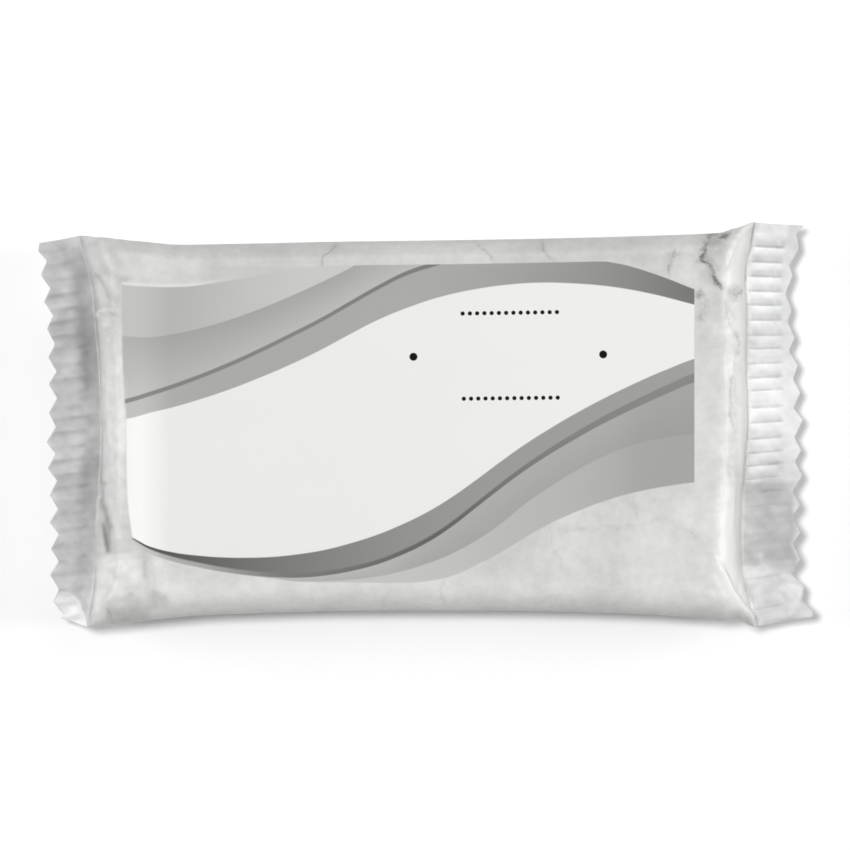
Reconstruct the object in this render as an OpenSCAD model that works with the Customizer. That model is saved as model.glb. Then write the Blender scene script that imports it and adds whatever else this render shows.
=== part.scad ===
// A bar of soap in a sealed film wrapper, lying on its back seam.
// The wrapper is drawn tight over the bar, folded in at the sides of both ends, and closed
// there by a flat seal with pressed ridges and a saw-toothed edge.
// X runs along the bar from seal to seal, Y across it, and Z up from the surface it lies on.
// The whole pack is one closed solid, since it is opened only by tearing it.

/* [Filled body] */
// Length of the body from one end seal to the other, along the centre line
body_length = 74.4; // [60:0.2:90]
// Width of the body across its middle
body_width = 42.8; // [36:0.2:52]
// Height of the body at its long edges, without the back seam
body_height = 15; // [11:0.2:20]
// Rise of the top face from its long edges to its centre line
top_crown = 0.7; // [0.2:0.1:1.5]
// Radius of the long edges
edge_radius = 3.2; // [2:0.1:4.5]
// Barrel of the long sides: how much wider the body is at its middle than near its ends
side_barrel = 0.4; // [0:0.1:1]

/* [End folds] */
// Distance from an end seal back to where the top face starts to turn down
end_run = 4.6; // [3:0.1:7]
// Steepness of the end walls, as the power of the curve that they fall by
end_steepness = 3; // [2:0.1:4]
// Length over which the sides flare out towards the corners of a seal
flare_length = 12; // [8:0.2:18]
// How far the film stands out at the corners of a seal, beyond the sides of the body
flare_width = 1.9; // [0.9:0.1:3.2]
// How much further out the seal starts at its corners than at its middle
root_bow = 1.7; // [0:0.1:3]
// Depth of the fold that is tucked in at each side of an end
tuck_depth = 7; // [2:0.2:9]

/* [End seals] */
// Length of a seal from the body to the tips of its teeth, along the centre line
seal_length = 6.5; // [4.5:0.1:10]
// How much narrower a seal is on each side than the film where it leaves the body
seal_inset = 0.7; // [0.4:0.1:1.5]
// Taper of a seal's sides over its length
seal_taper = 0.5; // [0:0.1:1]
// Thickness of the sealed film
seal_thickness = 0.4; // [0.3:0.05:0.6]
// How much further out the teeth are at the corners than at the middle
tip_bow = 0.5; // [0:0.1:1]
// How far the saw-toothed edge leans: what one corner reaches further, and the other less
tip_skew = 0.8; // [0:0.1:1.5]
// Spacing of the ridges pressed into a seal
ridge_pitch = 1.66; // [1.2:0.02:2.6]
// Height of a ridge from its valley
ridge_height = 0.5; // [0.2:0.05:0.7]
// Smooth margin between the ridges and the teeth
seal_margin = 1.1; // [0.5:0.1:1.6]
// Spacing of the teeth, eight to the inch
tooth_pitch = 3.175; // [2:0.025:4.5]
// Depth of the teeth
tooth_depth = 0.9; // [0.5:0.1:1.4]

/* [Back seam] */
// Width of the seam that lies flat along the underside
seam_width = 11; // [6:0.5:16]
// How far the seam stops short of where the underside turns up
seam_setback = 1.4; // [0.6:0.1:3]
// How far the seam stands proud of the underside
seam_thickness = 0.3; // [0.2:0.05:0.6]

/* [Hidden] */
film_color = "#e2e2e0";

// Height of the underside and of the seals' middle plane
underside_z = seam_thickness;
seal_z = underside_z + body_height / 2;
// Places along X: where the flare starts, where the top turns down, and where the seal starts
root_x = body_length / 2;
turn_x = root_x - end_run;
flare_x = root_x - flare_length;
// Half the height of the wedge of film that a seal grows out of, a little more than its ridges
root_half = seal_thickness / 2 + ridge_height * 0.75;
// Length of the slope from that wedge down to the ridges, and from the ridges to the margin
root_slope = seal_thickness;
ridge_slope = seal_thickness / 2;
// Least plain length that is left beside the first and the last tooth
corner_land = seal_thickness / 2;
// How far the seam reaches up into the body
seam_grip = seam_thickness * 2;
// Powers of the curves by which the sides flare out and the edges sharpen towards a seal
flare_power = 1.4;
fold_power = 1.6;

// Steps of the smooth curves
turn_steps = 10;
flare_steps = 4;
middle_steps = 8;
edge_steps = 5;
top_steps = 12;
ridge_steps = 4;

// Half the width of the body at a place along X
function half_width(x) =
    let (past = max(0, abs(x) - flare_x) / flare_length)
    let (along = min(1, abs(x) / flare_x))
    body_width / 2 - side_barrel / 2 * along * along + flare_width * pow(past, flare_power);

function backwards(list) = [for (i = [len(list) - 1 : -1 : 0]) list[i]];

// The upper half of one ring of the body: from the tuck on the +Y side, over the top, to the
// tuck on the -Y side, as pairs of Y and height above the seals' middle plane
function upper_half(wide, half, radius, tuck) = concat(
    [[wide - tuck, 0]],
    [for (i = [0 : edge_steps])
        let (angle = 90 * i / edge_steps)
        [wide - radius + radius * cos(angle), half - radius + radius * sin(angle)]],
    [for (i = [1 : top_steps - 1]) [(wide - radius) * (1 - 2 * i / top_steps), half]],
    [for (i = [edge_steps : -1 : 0])
        let (angle = 90 * i / edge_steps)
        [radius - wide - radius * cos(angle), half - radius + radius * sin(angle)]],
    [[tuck - wide, 0]]
);

// A ring is a pair of lines of points: one over the top from +Y to -Y, one back underneath.
// One ring of the body at a place along X, with its ends swept outwards by the bow
function ring(x, half, radius, tuck, bow, crown) =
    let (wide = half_width(x))
    let (upper = upper_half(wide, half, radius, tuck))
    let (out = bow / (wide * wide))
    [
        [for (p = upper)
            let (rise = p[1] >= half - radius ? crown * (1 - p[0] * p[0] / (wide * wide)) : 0)
            [x + out * p[0] * p[0], p[0], seal_z + p[1] + rise]],
        [for (i = [len(upper) - 2 : -1 : 1])
            let (p = upper[i])
            [x + out * p[0] * p[0], p[0], seal_z - p[1]]]
    ];

// The ring at a share of the turn down to a seal. As the film keeps its girth, the sides fold
// in by as much as the height goes down, and the fold is pressed shut where the seal starts.
function turn_ring(share) =
    let (rise = 1 - pow(share, end_steepness))
    let (half = root_half + (body_height / 2 - root_half) * rise)
    let (radius = root_half * 0.8 + (edge_radius - root_half * 0.8) * pow(rise, fold_power))
    let (tuck = share < 1 ? tuck_depth * sqrt(1 - rise * rise) : 0)
    ring(turn_x + end_run * share, half, radius, tuck, root_bow * share, 0);

// The ring at a place along the body, between the two turns
function body_ring(x) =
    ring(x, body_height / 2, edge_radius, 0, 0, top_crown * (1 - pow(x / turn_x, 4)));

// Places of the +X seal's sides, root and tips, across its width
function seal_half(share) = half_width(root_x) - seal_inset - seal_taper * share;
function root_at(y) = root_x + root_bow * pow(y / half_width(root_x), 2);
function tip_at(y) =
    let (share = y / seal_half(1))
    root_x + seal_length + tip_bow * share * share - tip_skew * share;
function ridge_end_at(y) = tip_at(y) - tooth_depth - seal_margin;

// A ring of the seal from its upper line, with the film's thickness between its two lines
function film_ring(upper) = [
    [for (p = upper) p + [0, 0, seal_thickness / 2]],
    [for (p = backwards(upper)) p - [0, 0, seal_thickness / 2]]
];

// The ridges' cross-section over a half width, as pairs of Y and height, from +Y to -Y
function ridges(half) =
    let (count = 2 * floor(half / ridge_pitch * ridge_steps))
    [for (i = [0 : count])
        let (y = (count / 2 - i) * ridge_pitch / ridge_steps)
        [y, ridge_height / 2 * cos(360 * y / ridge_pitch)]];

// The saw-toothed edge from +Y to -Y, with whole teeth centred on the seal and plain corners
function toothed_edge() =
    let (half = seal_half(1))
    let (teeth = floor(2 * (half - corner_land) / tooth_pitch))
    concat(
        [[tip_at(half) - tooth_depth, half, seal_z]],
        [for (i = [0 : 2 * teeth])
            let (y = (teeth - i) * tooth_pitch / 2)
            [tip_at(y) - (i % 2 == 0 ? tooth_depth : 0), y, seal_z]],
        [[tip_at(-half) - tooth_depth, -half, seal_z]]
    );

// The rings of the +X seal, from the wedge of film to the teeth
function seal_rings() =
    let (field = ridges(seal_half(0)))
    let (squeeze = seal_half(1) / seal_half(0))
    let (edge = toothed_edge())
    [
        film_ring([for (p = field) [root_at(p[0]) + root_slope, p[0], seal_z + p[1]]]),
        film_ring([for (p = field)
            let (y = p[0] * squeeze)
            [ridge_end_at(y), y, seal_z + p[1]]]),
        film_ring([for (p = edge) [ridge_end_at(p[1]) + ridge_slope, p[1], seal_z]]),
        film_ring(edge)
    ];

// The point of line a that point i of line b is joined to: the same one if the lines have as
// many points, and otherwise the nearest one in Y
function partner(a, b, i) =
    len(a) == len(b) ? i :
    i == len(b) - 1 ? len(a) - 1 :
    i == 0 ? 0 :
    let (way = sign(a[len(a) - 1][1] - a[0][1]))
    len([for (k = [0 : len(a) - 2]) if (way * ((a[k][1] + a[k + 1][1]) / 2 - b[i][1]) < 0) k]);

// Triangles between two lines of points, whose first points have the numbers a_at and b_at
function strip(a, b, a_at, b_at) = [for (i = [0 : len(b) - 2])
    let (here = partner(a, b, i))
    let (there = partner(a, b, i + 1))
    each concat(
        [[a_at + here, b_at + i, b_at + i + 1]],
        [for (k = [here : 1 : there - 1]) [a_at + k + 1, a_at + k, b_at + i + 1]]
    )];

// Triangles between two rings, whose first points have the numbers a_at and b_at
function wall(a, b, a_at, b_at) =
    let (a_low = a_at + len(a[0]))
    let (b_low = b_at + len(b[0]))
    let (a_end = a_low + len(a[1]) - 1)
    let (b_end = b_low + len(b[1]) - 1)
    concat(
        strip(a[0], b[0], a_at, b_at),
        strip(a[1], b[1], a_low, b_low),
        [
            [a_low, a_low - 1, b_low], [b_low, a_low - 1, b_low - 1],
            [a_at, a_end, b_at], [b_at, a_end, b_end]
        ]
    );

// Triangles that close a ring whose two lines have as many points
function cap(one, at) =
    let (count = len(one[0]))
    let (end = at + 2 * count - 1)
    [for (i = [0 : count - 2]) each [
        [at + i, at + i + 1, end - i], [at + i + 1, end - i - 1, end - i]]];

function ring_size(one) = len(one[0]) + len(one[1]);
function flipped(faces) = [for (face = faces) backwards(face)];
// A ring of the -X end is a ring of the +X end turned half round about Z
function turned(one) = [
    [for (p = backwards(one[0])) [-p[0], -p[1], p[2]]],
    [for (p = backwards(one[1])) [-p[0], -p[1], p[2]]]
];

// The wrapper's whole skin: seal, folded end, body, folded end, seal
module film_skin() {
    plus_end = concat(
        [for (i = [0 : turn_steps]) turn_ring(i / turn_steps)],
        seal_rings()
    );
    flare_places = [for (i = [1 : flare_steps - 1])
        flare_x + (turn_x - flare_x) * i / flare_steps];
    middle_places = [for (i = [0 : middle_steps]) flare_x * (2 * i / middle_steps - 1)];
    places = concat(-backwards(flare_places), middle_places, flare_places);
    rings = concat(
        [for (one = backwards(plus_end)) turned(one)],
        [for (x = places) body_ring(x)],
        plus_end
    );
    count = len(rings);
    sizes = [for (one = rings) ring_size(one)];
    // Number of each ring's first point, by adding up the sizes before it
    starts = [for (i = 0, at = 0; i < count; at = at + sizes[i], i = i + 1) at];
    points = [for (one = rings) each concat(one[0], one[1])];
    faces = concat(
        [for (i = [0 : count - 2]) each wall(rings[i], rings[i + 1], starts[i], starts[i + 1])],
        cap(rings[0], starts[0]),
        flipped(cap(rings[count - 1], starts[count - 1]))
    );
    polyhedron(points, faces, convexity = 8);
}

// The seam along the underside, which the pack rests on
module back_seam() {
    length = 2 * (turn_x - seam_setback);
    translate([-length / 2, -seam_width / 2, 0])
        cube([length, seam_width, seam_thickness + seam_grip]);
}

module wrapped_bar() {
    color(film_color) union() {
        film_skin();
        back_seam();
    }
}

wrapped_bar();
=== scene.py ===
"""Looks of a small bar of soap in a sealed, printed film wrapper, lying on a white table.

X runs along the bar from seal to seal, Y across it and Z up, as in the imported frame. The film is
one mesh: rings of points round the pack, one ring after another along X. Sizes are in millimetres
and become metres when the mesh is made.
"""
import math

import bpy
import numpy as np
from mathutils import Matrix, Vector


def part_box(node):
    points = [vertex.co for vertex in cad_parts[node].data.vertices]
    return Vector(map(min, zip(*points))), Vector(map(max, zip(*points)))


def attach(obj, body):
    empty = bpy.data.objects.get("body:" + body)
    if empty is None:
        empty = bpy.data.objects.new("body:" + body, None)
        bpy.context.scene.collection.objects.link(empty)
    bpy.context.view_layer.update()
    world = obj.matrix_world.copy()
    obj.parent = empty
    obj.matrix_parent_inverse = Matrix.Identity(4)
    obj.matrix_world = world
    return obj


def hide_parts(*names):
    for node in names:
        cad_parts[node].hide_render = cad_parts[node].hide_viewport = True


MM = 0.001

# How many points and rings the film has
EDGE_STEPS = 6
SIDE_STEPS = 8
SEAL_STEPS = 29
TURN_STEPS = 36
FLARE_STEPS = 18
MIDDLE_STEPS = 20

# The pack's own heights
SEAM_THICKNESS = 0.3
TOP_CROWN = 0.7
EDGE_RADIUS = 3.0
FILM_HALF = 0.1

# Places along X where the sides start to flare and where the top starts to turn down
FLARE_X = 24.0
TURN_X = 32.8
TUCK_DEPTH = 7.0

# Sides of the pack seen from above, as (X, Y): the +Y side and the -Y side
UPPER_SIDE = [(-40, 21.9), (-36, 21.5), (-32.4, 21.15), (-28.2, 20.8), (-21.4, 20.9), (-10, 21.15),
    (3, 21.3), (14, 21.5), (24.8, 21.8), (31, 22), (34, 22.2), (35.8, 22.7), (38, 23.55)]
LOWER_SIDE = [(-39.2, -23.4), (-34.4, -22.8), (-26, -21.95), (-21.4, -21.75), (-10, -21.45), (0, -21.4),
    (14.5, -21.5), (24.8, -21.8), (31.9, -22.3), (34.8, -22.6), (35.9, -22.5), (36.4, -22.45), (37.2, -23),
    (38.3, -23.35)]

# Where the seals meet the body and where their teeth end, as (Y, X)
LEFT_ROOT = [(-23.4, -39.2), (-21.8, -38.8), (-18.4, -38.3), (-9.5, -37.8), (1.2, -37.4), (8.8, -37.85),
    (15.5, -38.45), (19, -39.3), (21.9, -40)]
RIGHT_ROOT = [(-23.4, 38.4), (-19.2, 37), (-16.5, 36.45), (-7.7, 36.6), (2, 37.25), (8.2, 37.07),
    (17.2, 37.07), (21.1, 37.6), (23.4, 38)]
# The saw-toothed edges, tip after notch after tip, as (Y, X)
LEFT_TEETH = [(-22.38, -42.13), (-21.9, -41.9), (-20.37, -42.98), (-18.97, -42.33), (-17.28, -43.33),
    (-15.73, -42.33), (-14.33, -43.22), (-12.63, -42.33), (-11.25, -43.37), (-9.7, -42.4), (-8.11, -43.37),
    (-6.45, -42.52), (-4.99, -43.6), (-3.36, -42.7), (-1.96, -43.75), (-0.21, -42.64), (1.41, -43.45),
    (3.12, -42.52), (4.73, -43.5), (6.2, -42.56), (7.83, -43.56), (9.3, -42.75), (11.15, -43.68),
    (12.62, -42.96), (14.24, -44.02), (15.79, -43.29), (17.33, -44.41), (18.96, -43.68), (20.43, -44.99),
    (21.04, -44.53)]
RIGHT_TEETH = [(-22.2, 44.7), (-21.59, 45), (-20.24, 43.58), (-18.74, 43.9), (-17.24, 42.4),
    (-15.59, 43.38), (-13.76, 42.48), (-12.42, 43.43), (-10.69, 42.36), (-9.26, 43.35), (-7.61, 42.42),
    (-5.87, 43.66), (-4.28, 42.79), (-2.94, 43.51), (-1.44, 42.75), (0.55, 43.71), (1.97, 42.63),
    (3.72, 43.43), (5.29, 42.55), (6.87, 43.14), (8.61, 42.08), (10.03, 42.79), (11.93, 41.95),
    (13.35, 42.4), (15.16, 41.69), (17.3, 42.53), (18.41, 42.16), (20.38, 43.27), (22.11, 42.96),
    (23.06, 43.82)]
LEFT_BASE = [(-22.38, -41.7), (-12, -42.6), (0, -42.9), (8, -42.9), (14, -43.4), (21, -44.2)]
RIGHT_BASE = [(-22.2, 44), (-18, 43), (-12, 42.7), (0, 42.9), (7, 42.5), (13, 41.9), (17, 42), (23, 43)]
LEFT_END_SIDES = (21.04, -22.4)
RIGHT_END_SIDES = (23.06, -22.2)
# Crests of the right seal's pressed ridges along Y
RIDGES = [22.19, 20.46, 18.72, 17.07, 15.4, 13.82, 12.09, 10.35, 8.85, 7.16, 5.54, 4.11, 2.14, 0.43, -1.41,
    -3, -4.45, -5.95, -7.5, -9.1, -10.7, -12.4, -14.1, -15.7, -17.3, -19.05, -20.7, -22.3]
# Share of a pressed ridge's width at which it drops, and its points as such shares, close at the crest
DROP_SHARE = 0.91
RIDGE_SHARES = [0.0, 0.06, 0.14, 0.26, 0.42, 0.62, 0.8, DROP_SHARE]

# The right seal along Y: its middle and half its width, over which a share across goes from -1 to 1
ACROSS_MIDDLE = 0.35
ACROSS_HALF = 22.75
# A share across beyond this lies on a side wall
AT_SIDE = 0.9999
# Y of the body's corners at the seals
CORNER_LOW = -23.4
CORNER_HIGH = 21.9
# How far a seal reaches out
SEAL_REACH = 6.2

# Slow waves of the seals' outer edges, as (Y, Z)
LEFT_WAVE = [(-22.5, -0.9), (-20, -0.2), (-18.6, 0.9), (-12, 1), (-4, 0.7), (4, 1), (12, 0.7), (17, 0.9),
    (21, 0.5)]
RIGHT_WAVE = [(-22.3, 0.9), (-20, -0.2), (-17.5, -0.6), (-15.8, 0.7), (-11, 1.1), (-7.5, 0.9), (-6, -0.2),
    (0, -0.6), (10, -0.5), (20, -0.7), (23, -0.3)]
# Bright flanks of the left seal's ridges along Y, and how far a ridge rises for each step outwards
LEFT_RIDGES = [22.4, 20.8, 19.2, 17.32, 15.59, 13.97, 12.47, 10.85, 9.47, 7.51, 5.89, 4.16, 2.54, 1.27,
    -0.23, -1.96, -3.46, -5.2, -6.7, -8.31, -9.7, -11.55, -13.16, -14.9, -16.51, -18.36, -20, -21.7, -23.4]
LEFT_SLANT = 0.12
LEFT_RIDGE_HEIGHT = 0.27
RIDGE_HEIGHT = 0.5

# The turn from the top face to a seal, as (share of the way out, share of the height left)
TURN_PROFILE = [(0, 1), (0.22, 0.99), (0.42, 0.955), (0.58, 0.895), (0.72, 0.81), (0.84, 0.7), (0.92, 0.57),
    (0.965, 0.4), (0.99, 0.2), (1, 0)]


def smooth_curve(points):
    """A smooth function through a few (place, value) pairs that doesn't overshoot them."""
    at = np.array([p[0] for p in points], float)
    value = np.array([p[1] for p in points], float)
    gap = np.diff(at)
    slope = np.diff(value) / gap
    tangent = np.zeros_like(value)
    tangent[0], tangent[-1] = slope[0], slope[-1]
    agree = slope[:-1] * slope[1:] > 0
    weight = 2 * slope[:-1] * slope[1:] / np.where(agree, slope[:-1] + slope[1:], 1)
    tangent[1:-1] = np.where(agree, weight, 0)

    def evaluate(place):
        place = np.clip(np.asarray(place, float), at[0], at[-1])
        k = np.clip(np.searchsorted(at, place, side="right") - 1, 0, len(gap) - 1)
        t = (place - at[k]) / gap[k]
        low, high = value[k], value[k + 1]
        return (low * (2 * t ** 3 - 3 * t ** 2 + 1) + high * (3 * t ** 2 - 2 * t ** 3)
                + gap[k] * (tangent[k] * (t ** 3 - 2 * t ** 2 + t) + tangent[k + 1] * (t ** 3 - t ** 2)))

    return evaluate


def look_up(points, place):
    """The value at a place on straight lines between (place, value) pairs."""
    return np.interp(place, [p[0] for p in points], [p[1] for p in points])


def smooth_path(points, count):
    """Evenly spaced points along a smooth path through a few (a, b) pairs."""
    places = np.array(points, float)
    steps = np.linalg.norm(np.diff(places * [4.5, 7.5], axis=0), axis=1)
    along = np.concatenate([[0], np.cumsum(steps)])
    share = np.linspace(0, along[-1], count)
    first = smooth_curve(list(zip(along, places[:, 0])))
    second = smooth_curve(list(zip(along, places[:, 1])))
    return np.stack([first(share), second(share)], axis=1)


def ramp(value, start, end):
    """0 before start, 1 after end, and an even slope with soft ends between."""
    t = np.clip((np.asarray(value, float) - start) / (end - start), 0, 1)
    return t * t * (3 - 2 * t)


def ripple(x, y, seed, lengths):
    """Smooth unevenness from a few waves in seeded directions, about -1 to 1."""
    rng = np.random.default_rng(seed)
    total = np.zeros(np.broadcast(x, y).shape)
    for length in lengths:
        for _ in range(4):
            angle = rng.uniform(0, 2 * math.pi)
            shift = rng.uniform(0, 2 * math.pi)
            total += np.cos(2 * math.pi / length * (x * math.cos(angle) + y * math.sin(angle)) + shift)
    return total / (2.2 * math.sqrt(len(lengths)))


def columns():
    """Shares across the film, from 1 to -1, close together where the right seal's ridges rise."""
    places = [ACROSS_MIDDLE + ACROSS_HALF]
    for first, second in zip(RIDGES, RIDGES[1:]):
        places += [first + (second - first) * share for share in RIDGE_SHARES]
    shares = [(place - ACROSS_MIDDLE) / ACROSS_HALF for place in places]
    return [1.0] + [share for share in shares if abs(share) < 0.998] + [-1.0]


COLUMNS = columns()
TOP_STEPS = len(COLUMNS) - 1


def ring_layout():
    """Shares that place each point of a ring: across, round the edge, down the side, and up or down."""
    rows = [(q, 0.0, 1.0, 0.0) for q in COLUMNS]
    for i in range(1, EDGE_STEPS + 1):
        angle = math.pi / 2 * i / EDGE_STEPS
        rows.append((-1.0, math.sin(angle), math.cos(angle), 0.0))
    for i in range(1, SIDE_STEPS + 1):
        rows.append((-1.0, 1.0, 0.0, i / SIDE_STEPS))
    upper = np.array(rows)
    left_side = upper[TOP_STEPS + 1:]
    # Under the pack the ring runs back: lower side, lower edge, bottom, and up the other side
    lower = np.concatenate([left_side[:-1][::-1], upper[:TOP_STEPS + 1][::-1]])
    other = left_side * [-1, 1, 1, 1]
    ring = np.concatenate([upper, lower, other, other[:-1][::-1]])
    level = np.concatenate([
        np.ones(len(upper)), -np.ones(len(lower)), -np.ones(len(other)), np.ones(len(other) - 1)])
    return ring, level


class Film:
    """Builds the rings of the film, all as arrays of one row for a ring and one column for a point."""

    def __init__(self, low, high):
        self.ring, self.level = ring_layout()
        self.under = low.z / MM + SEAM_THICKNESS
        self.half = ((high.z - low.z) / MM - SEAM_THICKNESS - TOP_CROWN) / 2
        self.seal_z = self.under + self.half
        self.upper = smooth_curve(UPPER_SIDE)
        self.lower = smooth_curve(LOWER_SIDE)
        self.points = []

    @staticmethod
    def level_film(y, across):
        return np.zeros_like(y)

    def place(self, x_of_y, wide, middle, radius, half, tuck, lift, crown):
        """Adds one ring: x_of_y gives X for each Y, and the rest are its sizes."""
        across, out, up, down = self.ring.T
        y = middle + across * (wide - radius) + np.sign(across) * (np.abs(across) > AT_SIDE) * (
            radius * out - tuck * down)
        height = (half - radius + radius * up) * (1 - down)
        z = self.seal_z + self.level * height
        top = (self.level > 0) & (down == 0)
        arch = 1 - np.clip(np.abs(y - middle) / wide, 0, 1) ** 2.4
        z = z + np.where(top, crown * arch * up, 0) + lift(y, across)
        self.points.append(np.stack([x_of_y(y), y, z], axis=1))

    def body_ring(self, x):
        upper, lower = float(self.upper(x)), float(self.lower(x))
        crown = TOP_CROWN * (1 - abs(x / TURN_X) ** 4)
        self.place(lambda y: np.full_like(y, x), (upper - lower) / 2, (upper + lower) / 2, EDGE_RADIUS,
                   self.half, 0.0, self.level_film, crown)

    def turn_ring(self, side, root, run, rise):
        """A ring of the turn down to a seal, run of the way out and at rise of its height."""
        turn = side * TURN_X
        corner_up = turn + run * (float(root(CORNER_HIGH)) - turn)
        corner_low = turn + run * (float(root(CORNER_LOW)) - turn)
        upper, lower = float(self.upper(corner_up)), float(self.lower(corner_low))
        half = FILM_HALF + (self.half - FILM_HALF) * rise
        radius = min(0.8 * half, 0.1 + (EDGE_RADIUS - 0.1) * rise ** 1.6)
        tuck = TUCK_DEPTH * math.sqrt(max(0.0, 1 - rise * rise)) * float(ramp(rise, 0.0, 0.12))
        self.place(lambda y: turn + run * (root(y) - turn), (upper - lower) / 2, (upper + lower) / 2, radius,
                   half, tuck, self.level_film, 0.0)


def ridge_share(across):
    """Where a point lies within its ridge of the right seal, from 0 at the +Y side to 1."""
    edges = (np.array(RIDGES[::-1]) - ACROSS_MIDDLE) / ACROSS_HALF
    k = np.clip(np.searchsorted(edges, across, side="right"), 1, len(edges) - 1)
    return np.clip((edges[k] - across) / (edges[k] - edges[k - 1]), 0, 1)


def pressed_ridge(across):
    """Height of the right seal's ridges over the share across: a swell that levels off, then a sharp drop."""
    share = ridge_share(across)
    swell = 1 - np.abs(1 - share / DROP_SHARE) ** 2.3
    return np.where(share < DROP_SHARE, swell, (1 - share) / (1 - DROP_SHARE))


def rolled_ridge(rise):
    """Height of the left seal's ridges: each one swells slowly and drops off at its -Y side."""
    phase = np.interp(-rise, -np.array(LEFT_RIDGES), np.arange(len(LEFT_RIDGES)))
    share = (phase - 0.1) % 1
    drop = 0.5 + 0.5 * np.cos(math.pi * np.clip(share / 0.4, 0, 1))
    swell = (np.clip(share - 0.4, 0, 1) / 0.6) ** 1.8
    return np.where(share < 0.4, drop, swell)


def build_film(low, high):
    """The whole film as points, one row of the result for each ring."""
    film = Film(low, high)
    turn_path = smooth_path(TURN_PROFILE, TURN_STEPS)
    sides = {
        -1: dict(root=smooth_curve(LEFT_ROOT), base=smooth_curve(LEFT_BASE), teeth=LEFT_TEETH,
                 end=LEFT_END_SIDES, wave=smooth_curve(LEFT_WAVE)),
        1: dict(root=smooth_curve(RIGHT_ROOT), base=smooth_curve(RIGHT_BASE), teeth=RIGHT_TEETH,
                end=RIGHT_END_SIDES, wave=smooth_curve(RIGHT_WAVE)),
    }

    def seal(side, share):
        s = sides[side]
        turn = side * TURN_X
        root_up = float(film.upper(turn + side * abs(float(s["root"](CORNER_HIGH)) - turn)))
        root_low = float(film.lower(turn + side * abs(float(s["root"](CORNER_LOW)) - turn)))
        upper = root_up + (s["end"][0] - root_up) * share
        lower = root_low + (s["end"][1] - root_low) * share
        middle = (upper + lower) / 2

        def x_of_y(y):
            base = s["base"](y)
            end = base + (look_up(s["teeth"], y) - base) * ramp(share, 0.5, 1.0)
            return s["root"](y) + (end - s["root"](y)) * share

        def lift(y, across):
            slow = s["wave"](y) * share ** 1.3
            out = share * SEAL_REACH
            if side < 0:
                start = 2.1 + 0.4 * ripple(y * 0 + 3, y, 21, (4.0, 8.0)) + ramp(y, -4.0, 20.0) * 0.3
                shape = rolled_ridge(y + LEFT_SLANT * (out - SEAL_REACH / 2))
                shape = (shape - 0.5) * (0.85 + 0.35 * ripple(out, y, 22, (3.0, 6.0)))
                field = ramp(out, start - 0.5, start + 0.4)
                ridges = LEFT_RIDGE_HEIGHT * shape * field
                return slow + ridges + 0.1 * ripple(out * 1.5, y, 23, (3.0, 5.0, 8.0))
            flat = 1 - 0.75 * ramp(y, -5.6, -7.2) * ramp(y, -22.0, -19.5)
            stop = 3.9 + 0.25 * ripple(y * 0 + 5, y, 24, (3.3, 7.0))
            field = ramp(out, 0.15, 0.7) * (1 - ramp(out, stop, stop + 0.35)) * flat
            uneven = 0.85 + 0.2 * ripple(out, y, 25, (4.0, 9.0))
            uneven = uneven * (0.7 + 0.4 * ramp(y, 11.0, 17.0))
            dents = 0.07 * ripple(out * 1.3, y, 26, (2.6, 4.4))
            dents = dents + 0.22 * ripple(out, y, 27, (4.0, 6.0)) * (1 - flat)
            ridges = RIDGE_HEIGHT * (pressed_ridge(across) - 0.5) * field * uneven
            return slow + ridges + dents * ramp(out, 0.0, 1.5)

        film.place(x_of_y, (upper - lower) / 2, middle, 0.08, FILM_HALF, 0.0, lift, 0.0)

    for i in range(SEAL_STEPS, 0, -1):
        seal(-1, i / SEAL_STEPS)
    for run, rise in turn_path[::-1]:
        film.turn_ring(-1, sides[-1]["root"], run, rise)
    flare = [FLARE_X + (TURN_X - FLARE_X) * i / FLARE_STEPS for i in range(1, FLARE_STEPS)]
    middle = [FLARE_X * (2 * i / MIDDLE_STEPS - 1) for i in range(MIDDLE_STEPS + 1)]
    for x in [-place for place in flare[::-1]] + middle + flare:
        film.body_ring(x)
    for run, rise in turn_path:
        film.turn_ring(1, sides[1]["root"], run, rise)
    for i in range(1, SEAL_STEPS + 1):
        seal(1, i / SEAL_STEPS)
    return film, np.array(film.points)


def grid_normals(points):
    """Outward normals of the rings' surface, which closes on itself round each ring."""
    along = np.gradient(points, axis=0)
    around = np.roll(points, -1, axis=1) - np.roll(points, 1, axis=1)
    normal = np.cross(around, along)
    length = np.linalg.norm(normal, axis=2, keepdims=True)
    return normal / np.maximum(length, 1e-9)


# Creases of the film, as (points as (X, Y)), width, height; a groove has a height below 0
FIN_CREASES = [
    ([(43.7, -19.1), (43, -20.5), (42.2, -22.2)], 0.45, 0.4),
    ([(41.2, -17.4), (42, -18.4), (43.9, -18.9)], 0.4, 0.22),
    ([(37.8, -17.5), (39.4, -17.3), (41.2, -17.1)], 0.2, 0.14),
    ([(38.6, -15.4), (41, -15.3), (43, -15.1)], 0.6, -0.4),
    ([(38.4, -7.4), (40.5, -7.1), (43, -7.2)], 0.5, 0.25),
    ([(38.2, -10.4), (40.6, -10.2), (42.6, -10.6)], 0.7, -0.25),
    ([(38, -17.8), (38.6, -19.6), (39.4, -21.4)], 0.6, -0.35),
    ([(-42.6, -19.2), (-41, -19.4), (-39.9, -20.3), (-39.2, -22.6)], 0.5, 0.4),
    ([(-40, -19.2), (-39.3, -20.6), (-38.9, -22.4)], 0.4, -0.12),
]
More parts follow.
